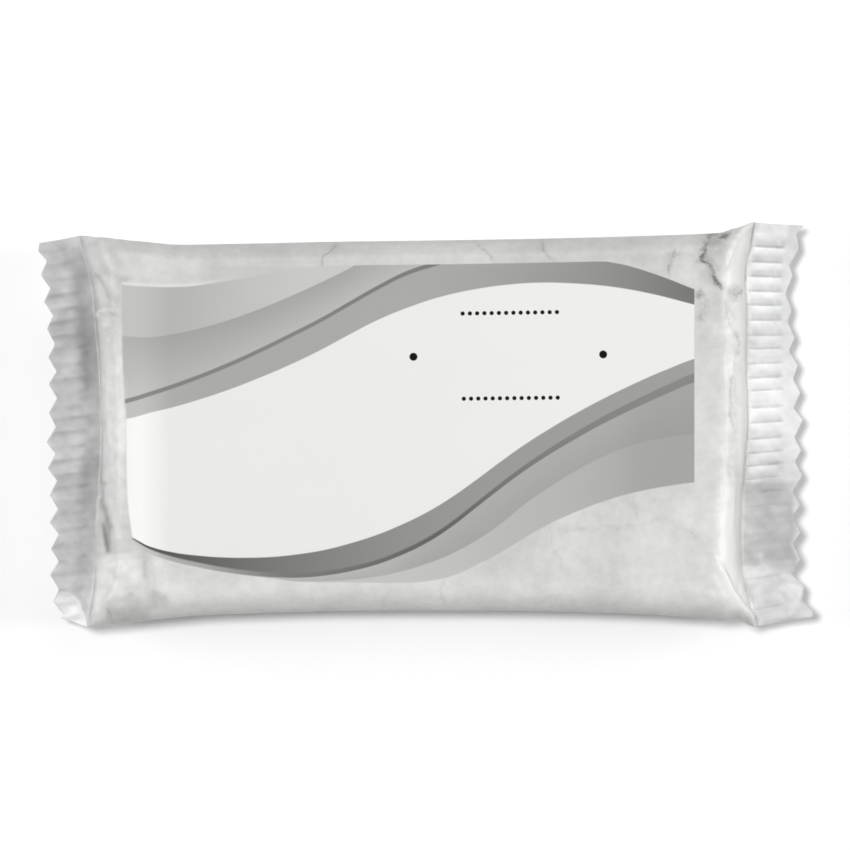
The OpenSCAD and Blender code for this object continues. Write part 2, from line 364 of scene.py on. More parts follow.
CREASES = [
    ([(37.95, 23.3), (36.6, 22.3), (35.8, 21.2), (35, 19.6), (34.6, 17.6)], 0.26, 0.3),
    ([(33.7, -15.7), (34.3, -17.2), (35.1, -19.2), (36.4, -21.1), (38.1, -22.9)], 0.4, 0.75),
    ([(33.1, -18.4), (34.1, -20.4), (35.6, -22)], 0.6, -0.3),
    ([(35.8, -17.4), (36.2, -19.4), (36.9, -20.5), (37.7, -21.1)], 0.24, -0.14),
    ([(36.6, -17.8), (37, -19.6), (37.8, -21.1)], 0.34, 0.12),
    ([(35.4, -2), (35.6, -9), (35.2, -14)], 0.25, 0.07),
    ([(36, 4), (36.1, -6), (35.8, -13)], 0.2, -0.07),
    ([(-37.3, -6.4), (-37.1, -8.6)], 0.4, -0.2),
    ([(-37.2, -9.2), (-36.9, -11.5), (-36.2, -14.6)], 0.5, -0.28),
    ([(-37.75, -6.4), (-37.8, -12), (-37.95, -17.6)], 0.22, 0.26),
    ([(-35.2, -13), (-35, -16), (-35.9, -19.6), (-37.2, -21.2)], 0.55, 0.5),
    ([(-32.5, -15), (-32.3, -16.6), (-32.1, -18)], 0.3, -0.3),
    ([(-31.2, -15.6), (-30.9, -17.4), (-31.1, -19.3)], 0.45, 0.4),
    ([(-36.7, -21.2), (-35.4, -20.2), (-34.2, -18.7)], 0.4, -0.5),
    ([(-34.6, -22), (-33.6, -20.4), (-32.9, -19.2)], 0.4, 0.34),
    ([(-31, -20.8), (-29.6, -20)], 0.7, -0.4),
    ([(-36.6, -21.2), (-36.3, -22.8)], 0.25, -0.4),
    ([(-38, 12.2), (-37.3, 13.1), (-36.3, 13.3), (-35.4, 12.9)], 0.3, 0.38),
    ([(-38.4, 17.4), (-37.2, 15.4), (-36.6, 13.9)], 0.5, -0.34),
    ([(-36.9, 21.4), (-35.6, 19.4), (-34.9, 16.8)], 0.5, 0.16),
    ([(-38.9, 20.4), (-37.6, 18.6), (-36.6, 16.6)], 0.4, -0.14),
    ([(-35.3, 16), (-35, 12), (-35.1, 8.6)], 0.3, 0.1),
    ([(-36.7, 10.4), (-36.6, 9.2)], 0.22, 0.12),
    ([(-36.6, 12), (-36.5, 11.2)], 0.22, 0.12),
    ([(-32.6, 13.9), (-32.3, 12.4), (-32, 11.2)], 0.16, -0.07),
    ([(-31.6, 15.8), (-31.2, 13), (-31.4, 10.8)], 0.5, 0.05),
]


def segment_gap(x, y, start, step):
    """Share along a segment of the place nearest to each point, and how far away that place is."""
    t = np.clip(((x - start[0]) * step[0] + (y - start[1]) * step[1]) / (step @ step), 0, 1)
    return t, np.hypot(x - start[0] - t * step[0], y - start[1] - t * step[1])


def crease_push(x, y, points, width, height):
    """A ridge along a path that fades at both ends."""
    path = smooth_path(points, 24)
    near = np.full(x.shape, np.inf)
    where = np.zeros(x.shape)
    box = (x > path[:, 0].min() - 3 * width) & (x < path[:, 0].max() + 3 * width)
    box &= (y > path[:, 1].min() - 3 * width) & (y < path[:, 1].max() + 3 * width)
    px, py = x[box], y[box]
    for i in range(len(path) - 1):
        t, away = segment_gap(px, py, path[i], path[i + 1] - path[i])
        closer = away < near[box]
        near[box] = np.where(closer, away, near[box])
        where[box] = np.where(closer, (i + t) / (len(path) - 1), where[box])
    fade = ramp(where, -0.05, 0.18) * (1 - ramp(where, 0.82, 1.05))
    return height * np.exp(-(near / width) ** 2) * fade


def wrinkle(film, points):
    """Moves the film along its normals: creases, dents and the seam underneath."""
    x, y, z = points[..., 0], points[..., 1], points[..., 2]
    normal = grid_normals(points)
    body = np.abs(x) < 38.8
    above = ramp(z, film.seal_z + 0.2, film.seal_z + 1.5) * (film.level > 0)
    push = np.zeros_like(x)
    # Uneven film over the ends of the bar, drawn into fine upright folds
    near_end = ramp(np.abs(x), 32.5, 35.5) * (1 - ramp(np.abs(x), 37.4, 38.5))
    push += 0.06 * near_end * ripple(x * 1.6, y, 5, (3.2, 5.5, 9.0))
    push += 0.03 * near_end * ripple(x * 3.0, y * 0.45, 6, (1.6, 2.6, 4.0))
    push += 0.01 * ripple(x * 0.35, y, 8, (6.0, 11.0, 19.0)) * above
    corner = np.exp(-((x + 34.5) / 2.6) ** 2 - ((y + 17.5) / 4.0) ** 2) * above
    push += 0.16 * corner * ripple(x * 1.2, y, 31, (2.4, 3.6, 5.4))
    for path, width, height in CREASES:
        push += crease_push(x, y, path, width, height) * above * body
    # The back seam lies flat under the middle of the pack
    below = (z < film.seal_z - 0.4) & (film.level < 0) & (np.abs(x) < 37)
    seam = (1 - ramp(np.abs(y), 5.3, 5.6)) * below * ramp(film.seal_z - z, 0.5, 3.0)
    push += SEAM_THICKNESS * seam
    moved = points + normal * push[..., None]
    for path, width, height in FIN_CREASES:
        moved[..., 2] += crease_push(x, y, path, width, height) * ramp(np.abs(x), 38.2, 39.2)
    moved[..., 2] = np.maximum(moved[..., 2], 0.0)
    return moved


# Lighter and darker clouds, partly of the print and partly painted light and shade: X, Y, reach along X and
# Y, and how much lighter or darker
PRINT_AND_SHADE_CLOUDS = [(42, 13, 6, 9, 0.24), (42, 1, 6, 6, 0.22), (43, -22, 3, 2.4, 0.1), (43.8, 3, 1.9, 15, 0.05),
    (43.4, -5, 2.2, 3, 0.09), (-41.3, 11.5, 2.8, 8.6, -0.22), (-41.3, 0, 2.8, 4, -0.03),
    (-40.9, -8.8, 2.5, 4.2, -0.16), (-40.6, -16.6, 2.4, 3.2, -0.15), (7, 20.6, 25, 2.2, -0.11),
    (-20, 19.6, 6, 1.8, -0.05), (20.5, 19.8, 5, 1.6, -0.07), (-24, 20.6, 7, 1.8, -0.08),
    (-14, 19.8, 4, 1.6, -0.08), (33, 21.6, 2.2, 1.3, -0.06), (0, -20.3, 32, 2.2, 0.09),
    (-28, -16, 8, 4.5, 0.05), (10, -18, 14, 3, -0.03), (28, -15, 5, 5, 0.08), (34, -2, 2, 12, 0.04),
    (36, -17, 1.4, 3, 0.06)]
# Painted light and shade on facets of folded film: (outline as (X, Y)), softness, how much lighter
PAINTED_FACETS = [
    ([(-37.3, -7.51), (-36.84, -9.01), (-36.37, -10.74), (-36.03, -11.78), (-36.43, -12.82),
      (-36.26, -14.67), (-36.72, -14.67), (-37.12, -12.7), (-37.07, -10.97), (-37.41, -9.24)], 0.4, -0.42),
    ([(-31.18, -15.82), (-29.91, -15.82), (-29.79, -17.67), (-30.25, -19.28), (-31.18, -19.05),
      (-31.41, -17.32)], 0.4, 0.1),
    ([(-31.99, -19.52), (-31.18, -19.05), (-30.02, -19.52), (-29.56, -20.55), (-30.6, -21.36),
      (-31.76, -20.9)], 0.4, -0.22),
    ([(-36.72, -21.25), (-34.06, -19.05), (-32.91, -19.75), (-31.76, -20.67), (-31.76, -22.75),
      (-36.03, -22.98)], 0.18, -0.12),
    ([(-37.76, -15.59), (-35.22, -14.43), (-32.91, -15.59), (-32.56, -17.9), (-34.06, -18.94),
      (-36.72, -21.02), (-38.45, -21.94), (-38.11, -19.05)], 0.5, 0.22),
    ([(-42.49, -19.17), (-41.45, -19.23), (-40.65, -19.63), (-39.95, -20.44), (-39.49, -21.82),
      (-39.03, -23.21), (-40.3, -23.09), (-42.15, -22.34), (-41.92, -21.82), (-42.84, -20.44)], 0.14, 0.5),
    ([(-40.42, -19.52), (-39.84, -20.55), (-38.91, -23.33), (-38.45, -21.36), (-38.22, -18.59),
      (-38.68, -17.9), (-39.15, -19.05)], 0.2, -0.04),
    ([(-39.15, 21.02), (-38.11, 14.43), (-37.88, 12.36), (-37.41, 13.16), (-36.37, 13.39), (-35.1, 13.39),
      (-34.99, 16.05), (-33.6, 16.97), (-35.45, 17.09), (-36.84, 18.82), (-37.53, 21.36)], 0.35, -0.16),
    ([(37.88, 22.98), (36.61, 22.17), (36.03, 21.02), (35.22, 19.52), (34.76, 17.9), (34.87, 16.17),
      (36.95, 16.17), (36.84, 18.82), (37.3, 21.36)], 0.35, 0.2),
    ([(36.49, 22.52), (35.8, 21.36), (34.99, 19.75), (34.3, 17.9), (33.6, 16.17), (31.76, 16.74),
      (32.1, 21.36), (32.91, 22.17), (35.22, 22.63)], 0.3, -0.08),
    ([(38.34, 23.33), (41.57, 22.98), (41.8, 22.34), (38.34, 22.34)], 0.15, -0.14),
    ([(33.6, -15.13), (34.3, -17.21), (35.1, -19.05), (36.03, -20.55), (36.84, -21.59), (37.76, -22.75),
      (38.34, -23.33), (38.45, -22.75), (37.76, -21.59), (37.07, -20.9), (36.37, -20.09), (35.8, -18.94),
      (35.33, -17.67), (34.53, -16.17)], 0.3, 0.5),
    ([(36.78, -17.67), (36.95, -19.05), (37.64, -20.21), (37.99, -20.9), (38.11, -20.21), (37.53, -18.82),
      (37.18, -17.78)], 0.2, -0.16),
    ([(30.83, -20.21), (34.99, -20.21), (36.14, -21.25), (36.49, -22.4), (34.06, -22.75),
      (30.83, -22.52)], 0.5, -0.04),
    ([(41.34, -18.24), (42.38, -18.36), (43.53, -18.82), (43.71, -19.75), (43.19, -20.79), (42.26, -22.17),
      (42.03, -21.36), (42.38, -20.21), (41.69, -19.28), (40.99, -19.05)], 0.3, 0.16),
    ([(43.76, -19.28), (44, -20.55), (44.92, -21.48), (44.8, -22.17), (42.73, -22.52), (42.38, -22.29),
      (43.19, -20.9)], 0.14, -0.05),
    ([(37.53, -18.48), (41.34, -18.48), (42.15, -20.21), (42.03, -21.59), (39.26, -22.86), (38.34, -22.29),
      (37.76, -20.9)], 0.3, -0.07),
    ([(36.84, -6.7), (42.73, -6.7), (42.49, -9.47), (42.96, -11.78), (42.38, -13.86), (43.07, -15.59),
      (42.84, -16.28), (36.61, -16.28), (36.61, -10.97)], 0.3, -0.22),
]
# Painted thin lines of light and shade along folds, and painted glints: (points as (X, Y)), width, how much
# lighter
PAINTED_STROKES = [
    ([(-37.48, -6.81), (-37.64, -9.82), (-37.99, -13.51), (-38.18, -17.67)], 0.16, 0.25),
    ([(-37.3, -4.73), (-37.36, -6.35), (-37.36, -7.97)], 0.16, -0.14),
    ([(-37.3, -11), (-37.05, -12.6), (-36.9, -13.6), (-36.6, -14.8)], 0.18, -0.4),
    ([(-32.39, -13.63), (-32.1, -15.36), (-32.18, -16.74), (-32.19, -18.13)], 0.3, -0.13),
    ([(-36.72, -21.13), (-36.14, -22.29), (-36.03, -22.86)], 0.16, -0.14),
    ([(-36.26, -16.05), (-35.57, -16.05)], 0.14, 0.16),
    ([(-37.53, -18.13), (-37.07, -17.9)], 0.2, 0.2),
    ([(-38.11, -19.86), (-37.76, -19.52)], 0.16, 0.15),
    ([(-39.9, -20.21), (-39.49, -21.59), (-38.91, -23.33)], 0.2, -0.06),
    ([(-36.84, 18.82), (-35.45, 17.09), (-33.6, 16.86)], 0.3, -0.06),
    ([(-35.22, 18.59), (-33.6, 17.9), (-31.76, 18.13)], 0.25, -0.05),
    ([(-37.93, 12.12), (-37.76, 12.7), (-37.3, 13.16), (-36.37, 13.31)], 0.18, 0.12),
    ([(-38.91, 21.82), (-38.45, 21.25)], 0.2, 0.12),
    ([(-37.12, 13.05), (-36.26, 13.11)], 0.16, 0.22),
    ([(-37.07, 11.51), (-36.37, 11.45)], 0.16, 0.22),
    ([(-36.72, 9.9), (-36.26, 9.84)], 0.16, 0.2),
    ([(38.06, 23.33), (36.56, 22.36), (35.84, 21.25), (34.99, 19.67), (34.58, 17.93)], 0.16, 0.3),
    ([(38.05, 23.21), (38.13, 22.4)], 0.14, 0.1),
    ([(35.89, -17.67), (36.18, -19.05), (36.89, -20.32), (37.64, -21.13)], 0.16, -0.26),
    ([(36.57, -17.9), (36.81, -19.28), (37.33, -20.21), (37.82, -21.07)], 0.16, 0.3),
    ([(43.82, -19.28), (42.44, -22.17)], 0.14, -0.12),
    ([(39.72, -9.41), (42.26, -9.7)], 0.35, 0.1),
    ([(36.95, -12.36), (42.15, -12.36)], 0.35, 0.05),
    ([(38.91, -15.36), (43.07, -15.47)], 0.4, -0.1),
    ([(39.38, -10.51), (42.49, -10.62)], 0.4, -0.06),
    ([(39.26, -9.01), (42.73, -9.01)], 0.3, -0.05),
    ([(37.07, -7.16), (41.92, -7.27)], 0.4, -0.05),
    ([(36.95, -16.97), (42.73, -17.32)], 0.6, 0.07),
    ([(37.53, -16.86), (40.42, -16.97)], 0.13, 0.08),
    ([(37.3, -17.55), (40.99, -17.32)], 0.13, 0.08),
    ([(37.64, 15.59), (37.3, 9.82), (37.3, 2.89), (37.41, -1.73), (36.95, -7.51)], 0.3, -0.13),
    ([(37.41, 9.7), (38.34, 9.35)], 0.4, -0.12),
    ([(37.3, 8.08), (38.45, 7.97)], 0.3, -0.08),
    ([(37.3, 7.04), (38.34, 6.93)], 0.3, -0.13),
    ([(38.34, 6.24), (39.61, 6), (41.22, 5.77)], 0.35, -0.14),
    ([(37.3, -0.69), (38.45, -0.81)], 0.35, -0.09),
    ([(37.3, -2.19), (38.34, -2.31)], 0.3, -0.09),
    ([(37.3, -3.23), (38.34, -3.23)], 0.3, -0.12),
    ([(38.34, -4.16), (39.84, -4.39), (41.57, -4.39)], 0.35, -0.13),
    ([(37.3, -6), (39.84, -5.89), (41.92, -5.89)], 0.25, -0.1),
]
# Along Y: how dark the painted shade on the strip beside the left fold is, and how much painted light lifts
# the wall above it
LEFT_FOLD_SHADE = [(-24, 0), (-19.5, 0.03), (-17, 0.12), (-13, 0.22), (-8, 0.3), (-4, 0.32), (-1.5, 0.24), (2, 0.22),
    (4.5, 0.36), (9, 0.36), (13, 0.26), (17, 0.24), (19.5, 0.18), (22, 0.06)]
LEFT_WALL_LIGHT = [(-12, 0.02), (-4, 0.22), (4, 0.24), (12, 0.05), (18, 0.24)]


def facet_share(x, y, outline, soft):
    """1 inside an outline and 0 outside, with a soft edge."""
    share = np.zeros(x.shape)
    corners = np.array(outline)
    low, high = corners.min(axis=0) - soft, corners.max(axis=0) + soft
    box = (x > low[0]) & (x < high[0]) & (y > low[1]) & (y < high[1])
    px, py = x[box], y[box]
    inside = np.zeros(px.shape, bool)
    away = np.full(px.shape, np.inf)
    for start, end in zip(corners, np.roll(corners, -1, axis=0)):
        step = end - start
        if step[1] != 0:
            crossing = start[0] + step[0] * (py - start[1]) / step[1]
            inside ^= ((start[1] > py) != (end[1] > py)) & (px < crossing)
        away = np.minimum(away, segment_gap(px, py, start, step)[1])
    share[box] = ramp(np.where(inside, away, -away), -soft, soft)
    return share


def film_print_and_painted_light(film, points):
    """How much lighter or darker each point is: the print's clouds and mottling, and painted light and shade
    over the folds, seals and walls.
    """
    x, y, z = points[..., 0], points[..., 1], points[..., 2]
    tone = np.ones_like(x)
    # Clouds, partly of the print and partly painted light and shade
    for at_x, at_y, reach_x, reach_y, change in PRINT_AND_SHADE_CLOUDS:
        tone += change * np.exp(-np.abs((x - at_x) / reach_x) ** 3 - np.abs((y - at_y) / reach_y) ** 3)
    upper_half = ((film.level > 0) | (x > 36.5)) & (z > 4.5)
    # Painted light and shade on facets of folded film
    for outline, soft, change in PAINTED_FACETS:
        tone += change * facet_share(x, y, outline, soft) * upper_half
    # Painted lines of light and shade along folds, and painted glints
    for path, width, change in PAINTED_STROKES:
        tone += crease_push(x, y, path, width, change) * upper_half
    # The upper ridges of the right seal end in small painted shadows
    for crest in RIDGES[1:17]:
        tone += crease_push(x, y, [(40.6, crest + 0.16), (41.5, crest + 0.14)], 0.14, -0.16)
    # Painted shade darkens the left seal beside the fold, and painted light lightens the wall above it
    out = smooth_curve(LEFT_ROOT)(y) - x
    middle = 1 - ramp(np.abs(y), 19.5, 21.5)
    tone -= look_up(LEFT_FOLD_SHADE, y) * ramp(out, -0.05, 0.1) * (1 - ramp(out, 1.4, 3.0)) * (
        1 - ramp(np.abs(y), 20.5, 22.0))
    tone += (0.15 * np.exp(-np.abs(out) / 0.8) + look_up(LEFT_WALL_LIGHT, y)) * ramp(-out, -0.05, 0.1) * (
        1 - ramp(-out, 2.6, 3.6)) * middle
    # Painted light makes the wall above the right seal lighter too, most of all at the -Y end, and the fold
    # as well
    fold = x - smooth_curve(RIGHT_ROOT)(y)
    middle = 1 - ramp(np.abs(y), 20.5, 22.5)
    low = ramp(-y, 5.0, 9.0)
    tone += (0.2 * np.exp(-np.abs(fold + 0.3) / 0.9) + 0.14 + 0.22 * low) * ramp(-fold, -0.1, 0.2) * (
        1 - ramp(-fold, 1.8, 3.6)) * middle
    tone += 0.5 * np.exp(-(fold / 0.26) ** 2) * middle
    # Painted light on the right seal's ridges at their upper side, and painted shade further down each ridge
    share = ridge_share(film.ring[:, 0])
    strong = (0.45 + 0.55 * ramp(y, 9.0, 15.0)) * ramp(y, -6.4, -5.4)
    field = ramp(fold, 0.4, 0.9) * (1 - ramp(fold, 3.9, 4.3)) * strong * upper_half
    tone += (0.2 * np.exp(-(share / 0.3) ** 2) - 0.2 * ramp(share, 0.35, 0.7)) * field
    # Painted shade makes the side walls a little darker than the top
    side = (np.abs(film.ring[:, 0]) > AT_SIDE) * (1 - ramp(np.abs(x), 32.0, 35.6))
    tone -= (0.1 + 0.06 * (y < 0)) * ramp(film.half + film.seal_z - z, 1.4, 3.2) * side
    # The print over both ends is mottled
    mottled = 0.04 * ripple(x * 0.7, y, 41, (3.0, 5.0, 8.0)) + 0.035 * ripple(x * 0.8, y, 42, (1.0, 1.6, 2.4))
    return tone + mottled * ramp(np.abs(x), 31.0, 36.0)


# The underside's print is taken from this far out
FAR_Y = 60.0


def unrolled_y(film, base):
    """Y as if the side walls lay flat beside the top, so that the print doesn't run straight down them."""
    side = np.where(film.ring[:, 0] >= 0, 1.0, -1.0)
    wall = film.ring[:, 3] > 0
    depth = np.where(wall, film.under + 2 * film.half - base[..., 2], 0)
    return np.where((film.level < 0) & ~wall, FAR_Y * side, base[..., 1] + side * depth)


def new_object(name, data):
    """A new object, linked to the scene."""
    made = bpy.data.objects.new(name, data)
    bpy.context.scene.collection.objects.link(made)
    return made


def make_film_object(film, points, base):
    """The mesh of the film, closed at both saw-toothed edges, with the unwrinkled place of each point."""
    rings, size = points.shape[:2]
    faces = []
    for i in range(rings - 1):
        for j in range(size):
            k = (j + 1) % size
            faces.append((i * size + j, i * size + k, (i + 1) * size + k, (i + 1) * size + j))
    # Each end is closed by joining its upper line to its lower line
    last = (rings - 1) * size
    upper = list(range(TOP_STEPS + 1))
    low_start = TOP_STEPS + 2 * (EDGE_STEPS + SIDE_STEPS)
    lower = [low_start + TOP_STEPS - i for i in range(TOP_STEPS + 1)]
    for i in range(TOP_STEPS):
        a, b, c, d = upper[i], upper[i + 1], lower[i + 1], lower[i]
        faces.append((a, d, c, b))
        faces.append((last + a, last + b, last + c, last + d))
    side_a = list(range(TOP_STEPS, low_start + 1))
    side_b = list(range(low_start + TOP_STEPS, size)) + [0]
    for edge in (side_a, side_b):
        faces.append(tuple(edge))
        faces.append(tuple(last + v for v in edge[::-1]))
    mesh = bpy.data.meshes.new("film_wrapper")
    mesh.from_pydata((points.reshape(-1, 3) * MM).tolist(), [], faces)
    mesh.validate()
    place = mesh.attributes.new("film_mm", "FLOAT_VECTOR", "POINT")
    place.data.foreach_set("vector", base.reshape(-1).astype(np.float32))
    # The first attribute holds the print's clouds and painted light and shade, the second where the print
    # lies across the walls
    for name, values in (("film_print_and_painted_light", film_print_and_painted_light(film, base)), ("film_reach", unrolled_y(film, base))):
        attribute = mesh.attributes.new(name, "FLOAT", "POINT")
        attribute.data.foreach_set("value", values.reshape(-1).astype(np.float32))
    mesh.shade_smooth()
    return new_object("film_wrapper", mesh)


# Print, in millimetres as seen from above. Edges of the fields as (X, Y)
PANEL_LEFT = [(-14, -33.6), (-12.9, -33.7), (-7, -34.3), (1, -34.4), (3, -34.6), (16.2, -34.95), (20, -35)]
PANEL_RIGHT = 31.0
PANEL_TOP = [(-36, 18.23), (-20, 18.28), (-5.2, 18.41), (1.7, 18.49), (9.8, 18.62), (16.7, 18.75),
    (20.8, 18.82), (32, 18.88)]
LIGHT_BAND_TOP = [(-36, 16.35), (-32, 15.95), (-28.5, 15.9), (-24.7, 16.3), (-20.2, 17), (-16.3, 17.8),
    (-8, 18.6), (0, 19.5), (32, 21)]
MIDDLE_BAND_TOP = [(-36, 10.48), (-34.1, 10.2), (-31.8, 10.11), (-28.9, 10.47), (-26, 11.09),
    (-22.5, 12.11), (-19.1, 13.32), (-15.6, 14.76), (-12.1, 16.35), (-8.7, 18.01), (-4.5, 20.18),
    (32, 21.38)]
UPPER_LINE = [(-36, 2.72), (-34.1, 3.1), (-31.8, 3.79), (-28.9, 4.74), (-26, 5.8), (-22.5, 7.22),
    (-19.1, 8.77), (-15.6, 10.48), (-12.1, 12.26), (-8.7, 14.2), (-5.2, 16.18), (-1.7, 17.88), (1.5, 18.88),
    (6, 20.08), (32, 20.88)]
UPPER_LINE_WIDTH = [(-36, 0.54), (-15, 0.5), (2, 0.52)]
FIELD_TOP = [(-36, 0.43), (-33.5, 0.88), (-31.8, 1.37), (-28.9, 2.07), (-26, 2.92), (-22.5, 4.09),
    (-19.1, 5.41), (-15.6, 6.9), (-12.1, 8.58), (-8.7, 10.41), (-5.2, 12.19), (-1.7, 13.61), (1.7, 14.72),
    (5.8, 15.63), (9.8, 16.17), (13.3, 16.38), (16.7, 16.31), (20.2, 16.06), (23.1, 15.67), (26, 15.11),
    (28.3, 14.56), (30.4, 14), (32, 13.58)]
DARK_CORNER_TOP = [(-36, 20.78), (15, 20.48), (20.2, 18.98), (23.1, 18.39), (26, 17.52), (28.3, 16.7),
    (30.4, 15.85), (32, 15.28)]
# The lower edges all turn at these places along X
LOW_X = [-36, -33.6, -32.8, -31.8, -28.9, -26, -23.1, -20.2, -17.3, -14.4, -11.5, -8.7, -5.8, -2.9, 0, 2.9,
    5.8, 8.7, 11.5, 14.4, 17.3, 20.2, 23.1, 26, 28.3, 30.4, 32]


def at_low_x(heights):
    """An edge as (X, Y), from its heights at the last of the places LOW_X."""
    return list(zip(LOW_X[-len(heights):], heights))


FIELD_BOTTOM = at_low_x([-11.54, -13, -13.43, -13.93, -14.67, -15.04, -15.24, -15.27, -15.16, -14.84,
    -14.36, -13.64, -12.73, -11.56, -10.16, -8.42, -6.38, -4.22, -2.23, -0.39, 1.31, 2.87, 4.3, 5.63, 6.59,
    7.42, 7.91])
LOWER_LINE = at_low_x([-11.64, -13.16, -13.67, -14.24, -15.2, -15.85, -16.39, -16.77, -17, -17.05, -16.81,
    -16.34, -15.61, -14.51, -13.1, -11.24, -8.97, -6.68, -4.59, -2.64, -0.85, 0.83, 2.34, 3.75, 4.81, 5.75,
    6.26])
LOWER_LINE_WIDTH = [(-36, 0.04), (-33.6, 0.1), (-31.8, 0.35), (-28.9, 0.5), (-15, 0.52), (-6, 0.52),
    (0, 0.57), (6, 0.6), (12, 0.66), (18, 0.79), (24, 0.92), (31, 1.06)]
LIGHTEST_TOP = [(-36, -24.04), (-20, -18.64)] + at_low_x([-18.02, -17.97, -17.81, -17.48, -16.88, -16.03,
    -14.89, -13.34, -11.38, -9.09, -7.11, -5.29, -3.8, -2.57, -1.77, -1.3, -1.08, -1.04])
LOWEST_EDGE = at_low_x([-11.74, -13.2, -13.9, -14.71, -15.73, -16.37, -16.9, -17.31, -17.66, -18.02, -18.11,
    -18.11, -18.15, -18.17, -18, -17.42, -16.15, -14.68, -12.96, -11.33, -10.02, -8.91, -8.01, -7.36, -6.96,
    -6.67, -6.54])

# Greys of the fields over X, as written in 8-bit steps
LIGHT_BAND = [(-35, 186), (-30, 184), (-24.2, 190), (-19, 197), (-13.3, 202), (-8, 203)]
MIDDLE_BAND = [(-35, 182), (-29, 176), (-24, 176), (-13, 178), (0, 179)]
LINE_GREY = [(-35, 133), (-15, 134), (-8, 129), (2, 126)]
INNER_BAND = [(-35, 186), (-31, 182), (-28.9, 175), (-24, 172), (-15, 171), (0, 171), (5.2, 168),
    (13.3, 159), (20.2, 148), (24.8, 138), (28.9, 127), (31, 121)]
LOW_BAND = [(-34, 70), (-30, 90), (-24, 107), (-19, 120), (-12, 133), (-5.2, 144), (1.7, 152), (8.7, 157),
    (15.6, 159), (31, 162)]
LOW_LINE_GREY = [(-34, 205), (-31.8, 200), (-28.9, 176), (-26, 171), (-23.1, 160), (-20.2, 146), (-16, 126),
    (-12.1, 122), (-5.2, 112), (1.7, 104), (8.7, 120), (15.6, 131), (31, 139)]
UNDER_BAND = [(-34, 190), (-11, 184), (-5, 182), (1.7, 173), (8.7, 173), (15.6, 172), (21.4, 170.5),
    (26, 165), (31, 164.5)]
LIGHTEST_BAND = [(-8, 200), (1.7, 197), (8.7, 190), (15.6, 185), (21.4, 177.5), (26, 169), (31, 168)]
FIELD = [(-28, 237), (0, 238), (20, 240), (31, 240)]
MARBLE_GREY = 216

# Veins of the marble print: (points as (X, Y)), width, darkness, whether X follows Y
VEINS = [
    ([(-12.2, 17.9), (-11.9, 18.5), (-11.6, 19.4), (-10.7, 20.1), (-10.2, 21)], 0.17, 0.34, True),
    ([(8.1, 18.4), (7.9, 19), (7.2, 19.8), (6.4, 20.5), (5.7, 21.3)], 0.15, 0.26, True),
    ([(15.4, 18.5), (14.6, 19.2), (13.8, 19.9), (13.5, 21.5)], 0.15, 0.26, True),
    ([(34.3, 15.4), (33.9, 15.9), (33.3, 16.9), (32.7, 18.4), (31.95, 19.2), (32.45, 20.8),
      (33, 22.3)], 0.28, 0.7, True),
    ([(33.9, 15.6), (33.3, 16.2), (33.2, 17.2), (33.6, 18)], 0.2, 0.3, True),
    ([(30.9, 18.8), (32, 19), (33.4, 18.6)], 0.3, 0.35, False),
    ([(32.2, 21.75), (33.2, 22.15), (34.1, 21.9), (35.3, 22.2)], 0.3, 0.7, False),
    ([(27.6, 19.9), (28.6, 19.6), (29.8, 20.3)], 0.3, 0.28, False),
    ([(34.9, 15.3), (35.6, 15.1), (36.4, 15.2), (37, 15.9)], 0.2, 0.45, False),
    ([(35.85, -0.6), (35.2, 2.1), (35.3, 4), (35.7, 7), (36, 9.1), (35.7, 10.6), (35, 11.8),
      (34.5, 14.5)], 0.14, 0.22, True),
    ([(28.2, 17), (28.3, 18.6), (28.7, 19.9), (29.4, 20.4)], 0.24, 0.36, True),
    ([(16, -16.9), (15.5, -15.6), (14.8, -13.9), (14.3, -11.4)], 0.16, 0.1, True),
    ([(2.3, -21.2), (1.9, -19.6), (2, -18.4), (2.8, -17.1), (4.6, -16.3)], 0.18, 0.12, True),
    ([(-5.2, -21.4), (-4.5, -19.8), (-3.8, -18.4)], 0.18, 0.1, True),
    ([(24.5, -11.2), (24.1, -9.3), (24, -7.7)], 0.16, 0.1, True),
    ([(15.5, -12.5), (18, -11.9), (20.8, -11.8), (25, -11.5), (27.2, -11), (29.3, -11.8), (31, -12.6),
      (32.2, -14.6)], 0.22, 0.11, False),
]
# Small blotches of the marble as (X, Y, radius, darkness)
BLOTCHES = [(31.7, 15.1, 0.5, 0.5), (32.3, 13.7, 0.8, 0.24), (31.7, 12.4, 0.5, 0.45),
    (33.4, 14.2, 1.4, 0.08), (35.6, 15.2, 0.7, 0.25), (32.3, 10, 0.5, 0.1), (27.6, -10.9, 0.5, 0.14),
    (28.9, -12.9, 0.6, 0.1), (15.1, -14.4, 0.3, 0.2), (33.2, 21.4, 1.2, 0.3), (32.4, 17.6, 1.3, 0.12),
    (-28.6, 20.4, 1.2, 0.06)]
DOT_ROWS = [(4.33, 12.82, 15.18, 12.99), (4.47, 3.02, 15.27, 3.15)]
DOTS_IN_ROW = 14
DOT_RADIUS = 0.245
BULLETS = [(-1.33, 7.85), (20.5, 8.12)]
BULLET_RADIUS = 0.46
DOT_SOFTNESS = 0.045
DOT_SHADE = 0.006
EDGE_SOFTNESS = 0.06
# The lightest shade of the stone and of the panel, and the grey of the painted highlight along the glossy rim
# at the panel's upper left
LIGHTEST_STONE = 0.95
LIGHTEST_PANEL = 0.985
RIM_HIGHLIGHT_GREY = 0.84
# Tint of the film: warmer, cooler over the seals, and a slow drift between the two
WARM = 0.024
COOL = 0.03
DRIFT = 0.03
FILM_ROUGHNESS = 0.33
FILM_SHINE = 0.45


def linear(grey):
    """The light value of an 8-bit grey."""
    share = grey / 255
    return share / 12.92 if share <= 0.04045 else ((share + 0.055) / 1.055) ** 2.4


